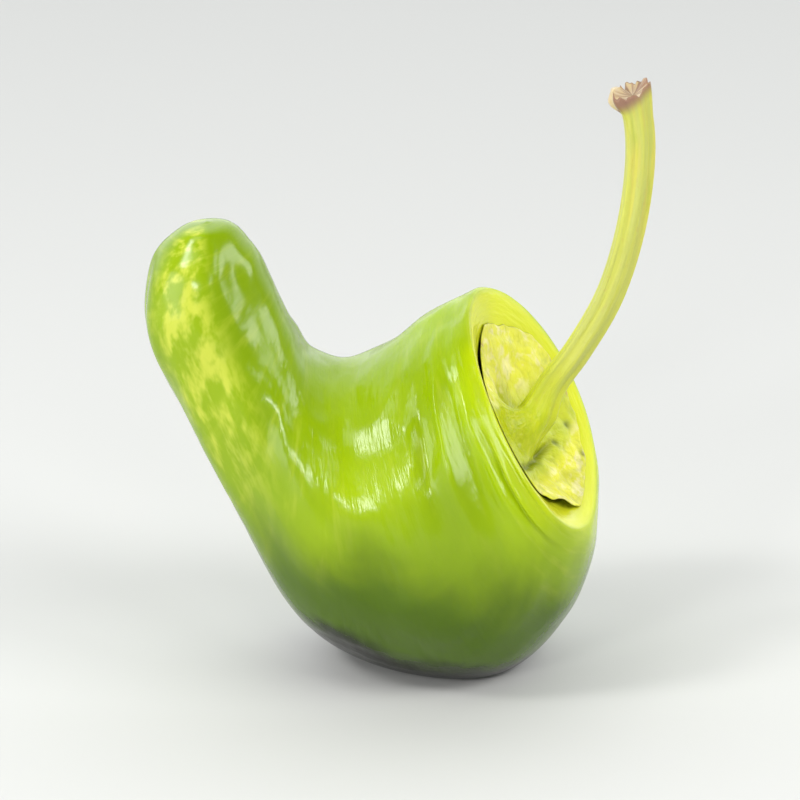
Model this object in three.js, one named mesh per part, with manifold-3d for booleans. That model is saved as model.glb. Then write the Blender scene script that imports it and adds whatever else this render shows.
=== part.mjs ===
// A padron pepper as picked: a short, blocky green pod whose tip curls up into a horn, and the calyx
// and stem that it grew on. Millimetres, +Z up. The horn points to -X, the stem stands at +X, and the
// side with the folded shoulder faces -Y. The pod stands on a small flat spot under its belly, and the
// centre of that spot is the origin.

import * as THREE from "three";
import { mergeVertices } from "three/addons/utils/BufferGeometryUtils.js";
import Module from "manifold-3d";

const wasm = await Module();
wasm.setup();

const DEGREE = Math.PI / 180;

// Driving dimensions of the pod's hollow end, where the calyx sits.
const RIM_CENTRE = new THREE.Vector3(11.2, -5.6, 31.7);
const RIM_TILT = 32 * DEGREE; // the way the calyx faces, above the horizon
const RIM_TURN = -18 * DEGREE; // and round the vertical from +X
const RIM_LONG_WAY = new THREE.Vector3(-0.446, 0.306, 0.84); // which way the rim is longest
const RIM_RADIUS = 14.5; // its half length, on average
const RIM_RISE = 1; // how much more of it lies above the calyx's middle
const RIM_SKEW = 1.3; // how much more of it lies up and away than down and away
const RIM_NEAR = 0.74; // its half width towards the folds over its half length
const RIM_FAR = 0.95; // and away from them
const RIM_FACING = 25; // how far the line across it is turned round the vertical, in degrees
const RIM_BLEND = 0.3; // how far along the pod's side the rim's own outline is felt
const HOLLOW_DEPTH = 4.6;
const ROLL_IN = 0.85; // where in the hollow the saddle and belly lines start, over the rim's radius

// Sections across the pod from the shoulder to the horn: the point on the saddle, the point facing it
// on the belly, the half widths towards the shoulder's folds and away from them over the half height,
// and how far the flat of the section is turned round the vertical, in degrees.
const SECTIONS = [
  { saddle: [2.4, 0.4, 44.1], belly: [17.4, -8.6, 15.5], near: 0.84, far: 0.93, turn: 21 },
  { saddle: [-1.4, -0.1, 42.1], belly: [15.1, -5.6, 7.5], near: 0.87, far: 0.96, turn: 16 },
  { saddle: [-5.8, -0.6, 38.5], belly: [8.4, -2.6, 0.1], near: 0.88, far: 0.98, turn: 10 },
  { saddle: [-10.9, -1.1, 36.3], belly: [-3.4, -1.6, -0.2], near: 0.88, far: 0.96, turn: 5 },
  { saddle: [-14.2, -1.6, 37.7], belly: [-15.0, -1.6, 5.2], near: 0.87, far: 0.88, turn: 0 },
  { saddle: [-16.6, -1.1, 41.3], belly: [-23.8, -1.1, 19.5], near: 0.9, far: 0.86, turn: 0 },
  { saddle: [-18.6, -0.6, 45.5], belly: [-30.3, -0.6, 32.0], near: 0.92, far: 0.88, turn: 0 },
  { saddle: [-20.4, -0.6, 49.5], belly: [-33.8, -0.6, 41.6], near: 0.93, far: 0.9, turn: 0 },
  { saddle: [-22.1, -0.6, 51.9], belly: [-32.6, -0.6, 48.9], near: 0.95, far: 0.92, turn: 0 },
  { saddle: [-23.8, -0.6, 53.1], belly: [-30.0, -0.6, 52.2], near: 1.0, far: 1.0, turn: 0 },
  { saddle: [-26.3, -0.6, 53.4], belly: [-26.3, -0.6, 53.4], near: 1.0, far: 1.0, turn: 0 },
];

// The pod's lobes, furrows and dents: the height of each, its middle and reach along the side from 0 at
// the rim to 1 at the horn's tip, and its middle and reach round the side in degrees, where 0 is the
// saddle, 90 the side with the folds and 180 the belly.
const RELIEF = {
  farLobe: { height: 2.8, along: 0.4, length: 0.13, round: -150, width: 34 },
  firstFold: { height: -0.35, along: 0.05, length: 0.022, round: 95, width: 35 },
  secondFold: { height: -0.35, along: 0.14, length: 0.03, round: 95, width: 35 },
  frontFurrow: { height: -0.5, along: 0.46, length: 0.16, round: 118, width: 16 },
  backFurrow: { height: -0.8, along: 0.38, length: 0.16, round: -78, width: 16 },
  topFurrow: { height: -0.6, along: 0.2, length: 0.14, round: -25, width: 14 },
  bellyFurrow: { height: -0.7, along: 0.62, length: 0.16, round: 172, width: 12 },
  hornFurrow: { height: -0.7, along: 0.7, length: 0.14, round: 48, width: 16 },
  hornDent: { height: -0.5, along: 0.84, length: 0.06, round: 95, width: 30 },
};
const SMOOTH_TIP = 0.05; // the last stretch of the side, where the relief fades out

// The stem, from where it has left the calyx to its torn end.
const STEM_LINE = [
  [12.9, -6.5, 35.7],
  [15.9, -7.5, 40.4],
  [19.6, -8.6, 47.5],
  [22.1, -9.1, 56.2],
  [23.1, -8.6, 64.3],
  [22.9, -8.1, 69.0],
  [22.1, -7.6, 72.6],
];
const STEM_FOOT_RADIUS = 2.1; // how far its foot stands from the calyx's middle
const STEM_FOOT_ANGLE = 125 * DEGREE;
const STEM_FOOT_HEIGHT = -2.6; // above the plane of the rim, so that it starts inside the calyx
const STEM_FOOT_RISE = 1.6; // how far it leaves the calyx squarely
const STEM_RADIUS = 1.8;
const STEM_FLARE = 2; // how much wider it is at its foot
const STEM_FLARE_LENGTH = 4;
const STEM_RIBS = 5;
const STEM_RIB_HEIGHT = 0.07; // over its radius
const TORN_END_SWELL = 0.6;
const TORN_END_LENGTH = 4;
const TORN_END_CUP = { radius: 1.1, depth: 0.5, middle: 0.3 };

// The calyx, a thin lobed cap pressed into the hollow.
const CALYX_REACH = 0.86; // its radius over the rim's
const CALYX_THICKNESS = { margin: 0.8, middle: 2.4 }; // above the hollow
const CALYX_LOBES = 7;
const CALYX_LOBE_REACH = 0.03; // over its radius
const CALYX_RIB_HEIGHT = 0.8;
const CALYX_EDGE_POWER = 6; // the higher, the more steeply it ends at its margin
const CLEARANCE = 0.35; // between the calyx and the pod

// How finely the solids are faceted.
const POD_AROUND = 44;
const POD_HOLLOW_RINGS = 8;
const POD_SIDE_RINGS = 38;
const CALYX_AROUND = 42;
const CALYX_RINGS = 12;
const STEM_AROUND = 15;
const STEM_STEPS = 26;

const bump = (value, centre, width) => Math.exp(-(((value - centre) / width) ** 2));
const smoothstep = (low, high, value) => THREE.MathUtils.smoothstep(value, low, high);
const lerp = THREE.MathUtils.lerp;

// The rim's own frame: outward along the stem's way, up across the hollow, and sideways.
const RIM_OUT = new THREE.Vector3(
  Math.cos(RIM_TILT) * Math.cos(RIM_TURN),
  Math.cos(RIM_TILT) * Math.sin(RIM_TURN),
  Math.sin(RIM_TILT),
);
const RIM_UP = RIM_LONG_WAY.clone().projectOnPlane(RIM_OUT).normalize();
const RIM_SIDE = new THREE.Vector3().crossVectors(RIM_OUT, RIM_UP);

// How far the rim stands from the calyx's middle, before its width is drawn in.
const rimRadius = (angle) =>
  RIM_RADIUS + RIM_RISE * Math.cos(angle) - RIM_SKEW * Math.sin(2 * angle);

// How its width is drawn in, less and less from the near side to the far side.
const rimWidth = (angle) => lerp(RIM_FAR, RIM_NEAR, 0.5 + 0.5 * Math.sin(angle));

// How far the hollow lies below the rim at a share of the rim's radius.
const hollowDepth = (share) => HOLLOW_DEPTH * (1 - Math.min(share, 1) ** 2) ** 1.5;

// A point over the hollow, at a height above the plane of the rim.
function rimPoint(radius, angle, height) {
  return RIM_CENTRE.clone()
    .addScaledVector(RIM_UP, radius * Math.cos(angle))
    .addScaledVector(RIM_SIDE, rimWidth(angle) * radius * Math.sin(angle))
    .addScaledVector(RIM_OUT, height);
}

// A point in the hollow at a share of the rim's radius.
function hollowPoint(share, angle) {
  return rimPoint(share * rimRadius(angle), angle, -hollowDepth(share));
}

// The saddle and belly lines start inside the hollow, so that they roll smoothly over the rim.
const lineOf = (angle, side) =>
  new THREE.CatmullRomCurve3([
    hollowPoint(ROLL_IN, angle),
    hollowPoint(1, angle),
    ...SECTIONS.map((section) => new THREE.Vector3(...section[side])),
  ]);
const saddleLine = lineOf(0, "saddle");
const bellyLine = lineOf(Math.PI, "belly");
const SPANS = SECTIONS.length + 1;

// A section's half width and turn at a place along the pod, from 0 at the rim to 1 at the horn's tip.
function sectionValue(along, name, atRim) {
  const values = [atRim, ...SECTIONS.map((section) => section[name])];
  const place = along * (values.length - 1);
  const low = Math.min(Math.floor(place), values.length - 2);
  return lerp(values[low], values[low + 1], smoothstep(0, 1, place - low));
}

// How far the relief lifts the skin at a place along the side and an angle round it.
function reliefHeight(along, angle) {
  let height = 0;
  for (const mark of Object.values(RELIEF)) {
    const turn = angle - mark.round * DEGREE;
    const between = Math.atan2(Math.sin(turn), Math.cos(turn));
    height +=
      mark.height * bump(along, mark.along, mark.length) * bump(between, 0, mark.width * DEGREE);
  }
  return height * smoothstep(0, SMOOTH_TIP, 1 - along);
}

// A point on the section through the saddle line and the belly line.
function sectionPoint(along, angle) {
  const onLine = (1 + along * (SPANS - 1)) / SPANS;
  const saddle = saddleLine.getPoint(onLine);
  const belly = bellyLine.getPoint(onLine);
  const centre = saddle.clone().add(belly).multiplyScalar(0.5);
  const half = saddle.sub(belly).multiplyScalar(0.5);
  const turn = sectionValue(along, "turn", RIM_FACING) * DEGREE;
  const facing = new THREE.Vector3(-Math.sin(turn), -Math.cos(turn), 0);
  const across = facing.projectOnPlane(half.clone().normalize()).normalize();
  across.multiplyScalar(half.length());
  const width =
    Math.sin(angle) > 0
      ? sectionValue(along, "near", RIM_NEAR)
      : sectionValue(along, "far", RIM_FAR);
  const outward = half
    .multiplyScalar(Math.cos(angle))
    .addScaledVector(across, width * Math.sin(angle));
  const skin = outward.clone().normalize();
  return centre.add(outward).addScaledVector(skin, reliefHeight(along, angle));
}

// A point on the pod's side, which starts exactly on the rim.
function sidePoint(along, angle) {
  const offset = hollowPoint(1, angle).sub(sectionPoint(0, angle));
  return sectionPoint(along, angle).addScaledVector(offset, 1 - smoothstep(0, RIM_BLEND, along));
}

// A point on the whole pod, from the hollow's middle at 0 over the rim to the horn's tip at 1.
const HOLLOW_SHARE = POD_HOLLOW_RINGS / (POD_HOLLOW_RINGS + POD_SIDE_RINGS);
function podPoint(angle, ring) {
  const point =
    ring < HOLLOW_SHARE
      ? hollowPoint(Math.sin((0.5 * Math.PI * ring) / HOLLOW_SHARE), angle)
      : sidePoint((ring - HOLLOW_SHARE) / (1 - HOLLOW_SHARE), angle);
  point.z = Math.max(point.z, 0);
  return point;
}

// Moves each vertex to where a function of its angle round, its place along and its old position puts
// it, and joins the vertices that meet into one closed surface.
function warped(geometry, place) {
  const { position, uv } = geometry.attributes;
  const old = new THREE.Vector3();
  for (let i = 0; i < position.count; i++) {
    old.fromBufferAttribute(position, i);
    const point = place(2 * Math.PI * (uv.getX(i) % 1), 1 - uv.getY(i), old);
    position.setXYZ(i, point.x, point.y, point.z);
  }
  geometry.deleteAttribute("normal");
  geometry.deleteAttribute("uv");
  const joined = mergeVertices(geometry, 1e-4);
  const corners = joined.index.array;
  const kept = [];
  for (let i = 0; i < corners.length; i += 3) {
    const [a, b, c] = corners.slice(i, i + 3);
    if (a !== b && b !== c && c !== a) kept.push(a, b, c);
  }
  joined.setIndex(kept);
  return joined;
}

function solidOf(geometry) {
  return new wasm.Manifold(
    new wasm.Mesh({
      numProp: 3,
      vertProperties: geometry.attributes.position.array,
      triVerts: new Uint32Array(geometry.index.array),
    }),
  );
}

function geometryOf(solid) {
  const mesh = solid.getMesh();
  const geometry = new THREE.BufferGeometry();
  geometry.setAttribute("position", new THREE.BufferAttribute(mesh.vertProperties, 3));
  geometry.setIndex(new THREE.BufferAttribute(mesh.triVerts, 1));
  geometry.computeVertexNormals();
  return geometry;
}

// The calyx: its underside follows the hollow, its upper side is a ribbed bowl, thickest at the stem.
function calyxGeometry() {
  const disc = new THREE.SphereGeometry(1, CALYX_AROUND, 2 * CALYX_RINGS);
  return warped(disc, (angle, ring) => {
    const upper = ring < 0.5;
    const share = upper ? 2 * ring : 2 - 2 * ring;
    const lobes = 1 + CALYX_LOBE_REACH * Math.cos(CALYX_LOBES * angle);
    const radius = share * CALYX_REACH * rimRadius(angle) * lobes;
    const reach = radius / rimRadius(angle);
    const under = CLEARANCE - hollowDepth(reach + (0.8 * CLEARANCE) / RIM_RADIUS);
    const rib = CALYX_RIB_HEIGHT * Math.cos(CALYX_LOBES * angle) * share * (1 - share);
    const { margin, middle } = CALYX_THICKNESS;
    const over = lerp(margin, middle, (1 - reach ** 2) ** 2) - hollowDepth(reach) + rib;
    const edge = upper ? Math.sqrt(1 - share ** CALYX_EDGE_POWER) : 0;
    return rimPoint(radius, angle, lerp(under, over, edge));
  });
}

// The stem: a ribbed tube that flares where it leaves the calyx and swells at its torn end.
function stemGeometry() {
  const foot = rimPoint(STEM_FOOT_RADIUS, STEM_FOOT_ANGLE, STEM_FOOT_HEIGHT);
  const line = new THREE.CatmullRomCurve3([
    foot,
    foot.clone().addScaledVector(RIM_OUT, STEM_FOOT_RISE),
    ...STEM_LINE.map((point) => new THREE.Vector3(...point)),
  ]);
  const length = line.getLength();
  const profile = [new THREE.Vector2(0, 0)];
  for (let step = 0; step <= STEM_STEPS; step++) {
    const along = (length * step) / STEM_STEPS;
    const flare = STEM_FLARE * Math.exp(-((along / STEM_FLARE_LENGTH) ** 1.4));
    const swell = TORN_END_SWELL * smoothstep(length - TORN_END_LENGTH, length, along);
    profile.push(new THREE.Vector2(STEM_RADIUS + flare + swell, along));
  }
  profile.push(new THREE.Vector2(TORN_END_CUP.radius, length - TORN_END_CUP.depth));
  profile.push(new THREE.Vector2(0, length - TORN_END_CUP.middle));
  return warped(new THREE.LatheGeometry(profile, STEM_AROUND), (angle, _, turned) => {
    const ribs = 1 + STEM_RIB_HEIGHT * Math.cos(STEM_RIBS * angle);
    const radius = ribs * Math.hypot(turned.x, turned.z);
    const share = THREE.MathUtils.clamp(turned.y / length, 0, 1);
    const tangent = line.getTangentAt(share);
    const side = new THREE.Vector3(0, -1, 0).projectOnPlane(tangent).normalize();
    const inward = new THREE.Vector3().crossVectors(side, tangent);
    return line
      .getPointAt(share)
      .addScaledVector(inward, radius * Math.cos(angle))
      .addScaledVector(side, radius * Math.sin(angle));
  });
}

function named(name, geometry, material) {
  const mesh = new THREE.Mesh(geometry, material);
  mesh.name = name;
  return mesh;
}

const podSkin = new THREE.MeshStandardMaterial({ color: 0x76a810, roughness: 0.28, metalness: 0 });
const stemSkin = new THREE.MeshStandardMaterial({ color: 0xc0cc3c, roughness: 0.55, metalness: 0 });

const pod = named(
  "pod",
  warped(new THREE.SphereGeometry(1, POD_AROUND, POD_HOLLOW_RINGS + POD_SIDE_RINGS), podPoint),
  podSkin,
);
const calyxAndStem = named(
  "calyx_and_stem",
  geometryOf(solidOf(calyxGeometry()).add(solidOf(stemGeometry()))),
  stemSkin,
);

const pepper = new THREE.Group();
pepper.add(pod, calyxAndStem);

export default pepper;
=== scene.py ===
"""A padron pepper, freshly picked: a glossy green pod, and the calyx and stem that it grew on.

The pod is one skin that starts in the hollow under the calyx, rolls over the folded shoulder, runs
round the belly and ends at the tip of the horn. The calyx and the stem are one skin too, from the torn
end of the stem down to the calyx's margin and round to its underside. Lengths are in millimetres until
a vertex is placed.
"""

import logging
import math
from collections.abc import Callable, Sequence
from dataclasses import dataclass, field
from enum import Enum

import bmesh
import bpy
from mathutils import Matrix, Vector, noise


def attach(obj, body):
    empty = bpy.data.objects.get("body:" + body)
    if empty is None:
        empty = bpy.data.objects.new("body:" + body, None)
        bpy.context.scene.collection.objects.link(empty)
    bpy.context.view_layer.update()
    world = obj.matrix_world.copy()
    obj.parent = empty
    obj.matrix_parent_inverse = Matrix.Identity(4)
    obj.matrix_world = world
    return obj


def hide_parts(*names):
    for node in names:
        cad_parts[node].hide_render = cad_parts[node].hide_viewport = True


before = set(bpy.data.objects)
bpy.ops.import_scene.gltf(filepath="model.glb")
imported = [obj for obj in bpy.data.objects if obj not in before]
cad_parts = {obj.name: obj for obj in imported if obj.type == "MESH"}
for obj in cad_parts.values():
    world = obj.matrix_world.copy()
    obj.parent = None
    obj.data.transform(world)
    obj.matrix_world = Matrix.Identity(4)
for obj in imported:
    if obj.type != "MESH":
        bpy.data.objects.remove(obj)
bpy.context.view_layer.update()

MM = 0.001
LOG = logging.getLogger("padron_pepper")

Triple = tuple[float, float, float]
Tree = bpy.types.NodeTree
Socket = bpy.types.NodeSocket


def srgb(colour: str) -> tuple[float, float, float, float]:
    """Turn an sRGB hex colour into linear light.

    Args:
        colour: The colour as "#rrggbb".

    Returns:
        Red, green, blue and an alpha of 1, linear.
    """
    channels = (int(colour[i : i + 2], 16) / 255 for i in (1, 3, 5))
    linear = (c / 12.92 if c <= 0.04045 else ((c + 0.055) / 1.055) ** 2.4 for c in channels)
    red, green, blue = linear
    return red, green, blue, 1.0


def mix(low: float, high: float, share: float) -> float:
    """Blend two numbers."""
    return low + (high - low) * share


def smoothstep(low: float, high: float, value: float) -> float:
    """Rise smoothly from 0 at low to 1 at high."""
    share = min(max((value - low) / (high - low), 0.0), 1.0)
    return share * share * (3 - 2 * share)


def bump(value: float, centre: float, reach: float) -> float:
    """Give a bell curve of height 1 round a centre."""
    return math.exp(-(((value - centre) / reach) ** 2))


def wrapped(angle: float) -> float:
    """Bring an angle to within half a turn of 0."""
    return math.atan2(math.sin(angle), math.cos(angle))


def flattened(vector: Vector, normal: Vector) -> Vector:
    """Project a vector onto the plane across a normal, and make it 1 long."""
    normal = normal.normalized()
    return (vector - normal * vector.dot(normal)).normalized()


class SmoothLine:
    """A smooth line through points, as a centripetal Catmull-Rom spline."""

    def __init__(self, points: Sequence[Vector], steps: int = 400) -> None:
        """Keep the points, and measure the line for places along its length.

        Args:
            points: The points that the line passes through.
            steps: How many chords it is measured by.
        """
        first = points[0] * 2 - points[1]
        last = points[-1] * 2 - points[-2]
        self.points = [first, *points, last]
        self.lengths = [0.0]
        before = self.at(0.0)
        for step in range(1, steps + 1):
            here = self.at(step / steps)
            self.lengths.append(self.lengths[-1] + (here - before).length)
            before = here

    @property
    def length(self) -> float:
        """The line's whole length."""
        return self.lengths[-1]

    def at(self, share: float) -> Vector:
        """Give the point at a share of the line.

        Args:
            share: The share, from 0 to 1, counted in spans between its points.

        Returns:
            The point.
        """
        spans = len(self.points) - 3
        place = min(max(share, 0.0), 1.0) * spans
        span = min(int(place), spans - 1)
        p0, p1, p2, p3 = self.points[span : span + 4]
        t0, t1, t2 = (max((b - a).length, 1e-6) ** 0.5 for a, b in ((p0, p1), (p1, p2), (p2, p3)))
        leave = ((p1 - p0) / t0 - (p2 - p0) / (t0 + t1) + (p2 - p1) / t1) * t1
        arrive = ((p2 - p1) / t1 - (p3 - p1) / (t1 + t2) + (p3 - p2) / t2) * t1
        t = place - span
        square = (p2 - p1) * 3 - leave * 2 - arrive
        cube = (p1 - p2) * 2 + leave + arrive
        return p1 + leave * t + square * t**2 + cube * t**3

    def share_at(self, distance: float) -> float:
        """Turn a distance along the line into a share of it.

        Args:
            distance: The distance from its start.

        Returns:
            The share, from 0 to 1.
        """
        steps = len(self.lengths) - 1
        low = 0
        high = steps
        while high - low > 1:
            middle = (low + high) // 2
            if self.lengths[middle] <= distance:
                low = middle
            else:
                high = middle
        chord = self.lengths[high] - self.lengths[low]
        return (low + min(max((distance - self.lengths[low]) / chord, 0.0), 1.0)) / steps

    def at_distance(self, distance: float) -> Vector:
        """Give the point at a distance along the line."""
        return self.at(self.share_at(distance))

    def way_at(self, distance: float) -> Vector:
        """Give the way that the line runs at a distance along it."""
        middle = min(max(self.share_at(distance), 0.002), 0.998)
        return (self.at(middle + 0.002) - self.at(middle - 0.002)).normalized()


@dataclass(frozen=True)
class Rim:
    """The skewed oval rim of the pod's hollow, in which the calyx sits.

    Its mean radius, rise and skew shape its outline, and near and far draw its width in at the folds and
    behind. The hollow's depth is in millimetres, and the rim faces so many degrees from the camera's way.
    """

    centre: Triple = (11.2, -5.6, 31.7)
    tilt: float = math.radians(32)
    turn: float = math.radians(-18)
    long_way: Triple = (-0.446, 0.306, 0.84)
    mean_radius: float = 14.5
    rise: float = 1.0
    skew: float = 1.3
    near: float = 0.74
    far: float = 0.95
    facing: float = 25.0
    hollow: float = 4.6

    @property
    def out(self) -> Vector:
        """The way that the hollow faces."""
        level = math.cos(self.tilt)
        return Vector((level * math.cos(self.turn), level * math.sin(self.turn), math.sin(self.tilt)))

    @property
    def up(self) -> Vector:
        """The way across the hollow in which it is longest."""
        return flattened(Vector(self.long_way), self.out)

    @property
    def side(self) -> Vector:
        """The way across the hollow towards the folds."""
        return self.out.cross(self.up)

    def radius(self, angle: float) -> float:
        """Give the rim's half length at an angle, before its width is drawn in."""
        return self.mean_radius + self.rise * math.cos(angle) - self.skew * math.sin(2 * angle)

    def width(self, angle: float) -> float:
        """Give how far the width is drawn in at an angle."""
        return mix(self.far, self.near, 0.5 + 0.5 * math.sin(angle))

    def depth(self, share: float) -> float:
        """Give how far the hollow lies below the rim at a share of the rim's radius."""
        return self.hollow * (1 - min(share, 1.0) ** 2) ** 1.5

    def point(self, radius: float, angle: float, height: float) -> Vector:
        """Give a point over the hollow.

        Args:
            radius: The distance from the hollow's middle, before the width is drawn in.
            angle: The angle round it, from its long way towards the folds.
            height: The height above the rim's plane.

        Returns:
            The point, in millimetres.
        """
        across = self.width(angle) * radius * math.sin(angle)
        along = radius * math.cos(angle)
        return Vector(self.centre) + self.up * along + self.side * across + self.out * height

    def hollow_point(self, share: float, angle: float) -> Vector:
        """Give a point in the hollow at a share of the rim's radius."""
        return self.point(share * self.radius(angle), angle, -self.depth(share))


@dataclass(frozen=True)
class Section:
    """One section across the pod, from the saddle to the belly.

    Its near and far half widths are shares of its half height, and its turn is in degrees.
    """

    saddle: Triple
    belly: Triple
    near: float
    far: float
    turn: float


@dataclass(frozen=True)
class Cut:
    """A section's middle, its half height, and its half widths to the near and the far side."""

    middle: Vector
    half: Vector
    near: Vector
    far: Vector


@dataclass(frozen=True)
class Mark:
    """A lobe, furrow or dent in the pod's skin, as a soft mound.

    Its height is in millimetres, its place and length are shares of the pod's side, and its place round
    and width are in degrees. A slant moves it along by so much for each radian round.
    """

    height: float
    along: float
    length: float
    around: float
    width: float
    slant: float = 0.0

    def lift(self, along: float, angle: float) -> float:
        """Give how far it lifts the skin at a place.

        Args:
            along: The place along the side, from 0 at the rim to 1 at the horn's tip.
            angle: The angle round.

        Returns:
            The height in millimetres.
        """
        turn = wrapped(angle - math.radians(self.around))
        middle = self.along + self.slant * turn
        return self.height * bump(along, middle, self.length) * bump(turn, 0, math.radians(self.width))


class Side(Enum):
    """Where a studio light stands, as turned from the camera's side and above the horizon."""

    FRONT_LOW = (8.0, 31.0)
    FRONT_HIGH = (36.0, 46.0)
    WINDOW_TOP = (-62.0, 44.0)
    WINDOW_FOOT = (-29.0, 21.0)
    LEFT_HIGH = (-60.0, 62.0)
    FAR_LEFT = (-66.0, 10.0)
    RIGHT = (68.0, 32.0)


def add_node(
    tree: Tree,
    kind: str,
    settings: dict[str, object] | None = None,
    sockets: dict[str | int, object] | None = None,
) -> bpy.types.Node:
    """Add one shader node with its settings, values and links.

    Args:
        tree: The node tree.
        kind: The node's type name.
        settings: The node's properties by name.
        sockets: What each input gets: an output socket to link from, or a plain value.

    Returns:
        The new node.
    """
    node = tree.nodes.new(kind)
    for name, value in (settings or {}).items():
        setattr(node, name, value)
    for name, value in (sockets or {}).items():
        if isinstance(value, Socket):
            tree.links.new(value, node.inputs[name])
        else:
            node.inputs[name].default_value = value
    return node


def new_material(name: str) -> tuple[bpy.types.Material, Tree]:
    """Start a material with an empty node tree.

    Args:
        name: The material's name.

    Returns:
        The material and its node tree.
    """
    material = bpy.data.materials.new(name)
    material.use_nodes = True
    material.node_tree.nodes.clear()
    return material, material.node_tree


def ramp(tree: Tree, factor: Socket, stops: Sequence[tuple[float, str]]) -> Socket:
    """Turn a number into a colour by stops.

    Args:
        tree: The node tree.
        factor: The number, from 0 to 1.
        stops: The place and the sRGB hex colour of each stop.

    Returns:
        The colour's socket.
    """
    node = add_node(tree, "ShaderNodeValToRGB", {}, {"Fac": factor})
    elements = node.color_ramp.elements
    while len(elements) < len(stops):
        elements.new(0.5)
    for element, (place, colour) in zip(elements, stops, strict=True):
        element.position = place
        element.color = srgb(colour)
    return node.outputs["Color"]


def spread(tree: Tree, value: Socket, low: float, high: float) -> Socket:
    """Stretch a number so that low becomes 0 and high becomes 1, smoothly and held there.

    Args:
        tree: The node tree.
        value: The number.
        low: The number that becomes 0.
        high: The number that becomes 1. It may be the smaller one.

    Returns:
        The stretched number's socket.
    """
    settings = {"interpolation_type": "SMOOTHSTEP"}
    sockets = {"Value": value, "From Min": low, "From Max": high}
    return add_node(tree, "ShaderNodeMapRange", settings, sockets).outputs["Result"]


def blended(tree: Tree, factor: Socket, first: Socket | str, second: Socket | str) -> Socket:
    """Mix two colours by a factor.

    Args:
        tree: The node tree.
        factor: How much of the second colour is used.
        first: The first colour, as a socket or an sRGB hex colour.
        second: The second colour, likewise.

    Returns:
        The mixed colour's socket.
    """
    colours = [srgb(colour) if isinstance(colour, str) else colour for colour in (first, second)]
    sockets = {"Factor": factor, 6: colours[0], 7: colours[1]}
    return add_node(tree, "ShaderNodeMix", {"data_type": "RGBA"}, sockets).outputs[2]


def joined(tree: Tree, operation: str, first: Socket, *others: Socket | float) -> Socket:
    """Join numbers one after another by one of Blender's operations.

    Args:
        tree: The node tree.
        operation: Blender's name of the operation.
        first: The first number.
        others: The numbers that are joined to it.

    Returns:
        The result's socket.
    """
    result = first
    for other in others:
        settings = {"operation": operation}
        result = add_node(tree, "ShaderNodeMath", settings, {0: result, 1: other}).outputs[0]
    return result


def product(tree: Tree, first: Socket, *others: Socket | float) -> Socket:
    """Multiply numbers."""
    return joined(tree, "MULTIPLY", first, *others)


def band(tree: Tree, value: Socket, rise: tuple[float, float], fall: tuple[float, float]) -> Socket:
    """Give 1 between two edges of a number and 0 beyond, each edge from its 0 to its 1."""
    return product(tree, spread(tree, value, *rise), spread(tree, value, *fall))


def parted(tree: Tree, vector: Socket) -> tuple[Socket, Socket, Socket]:
    """Part a vector into its X, Y and Z."""
    outputs = add_node(tree, "ShaderNodeSeparateXYZ", {}, {0: vector}).outputs
    return outputs["X"], outputs["Y"], outputs["Z"]


def kept(tree: Tree, name: str) -> Socket:
    """Read a vector that the mesh keeps at each vertex."""
    return add_node(tree, "ShaderNodeAttribute", {"attribute_name": name}).outputs["Vector"]


def shaded(tree: Tree, sockets: dict[str | int, object]) -> None:
    """Give a material its one shader, with the values and links of its inputs."""
    shader = add_node(tree, "ShaderNodeBsdfPrincipled", {}, sockets)
    add_node(tree, "ShaderNodeOutputMaterial", {}, {"Surface": shader.outputs[0]})


def grain(tree: Tree, place: Socket, size: Triple, detail: float = 2.0, roughness: float = 0.5) -> Socket:
    """Make noise whose lumps have a given size along each axis.

    Args:
        tree: The node tree.
        place: The coordinates, in millimetres.
        size: The lumps' size along each axis, in millimetres.
        detail: How many finer layers it has.
        roughness: How strong the finer layers are.

    Returns:
        The noise's socket, near 0.5.
    """
    scale = tuple(1 / length for length in size)
    mapping = add_node(tree, "ShaderNodeMapping", {}, {"Vector": place, "Scale": scale})
    sockets = {"Vector": mapping.outputs[0], "Scale": 1.0, "Detail": detail, "Roughness": roughness}
    return add_node(tree, "ShaderNodeTexNoise", {}, sockets).outputs["Fac"]


def raised(tree: Tree, height: Socket, depth: float, below: Socket | None = None) -> Socket:
    """Turn a height into a bumped normal.

    Args:
        tree: The node tree.
        height: The height, from 0 to 1.
        depth: What a height of 1 stands for, in millimetres.
        below: The bumped normal that it lies on.

    Returns:
        The normal's socket.
    """
    sockets: dict[str | int, object] = {"Height": height, "Distance": depth * MM, "Strength": 1.0}
    if below is not None:
        sockets["Normal"] = below
    return add_node(tree, "ShaderNodeBump", {}, sockets).outputs["Normal"]


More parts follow.
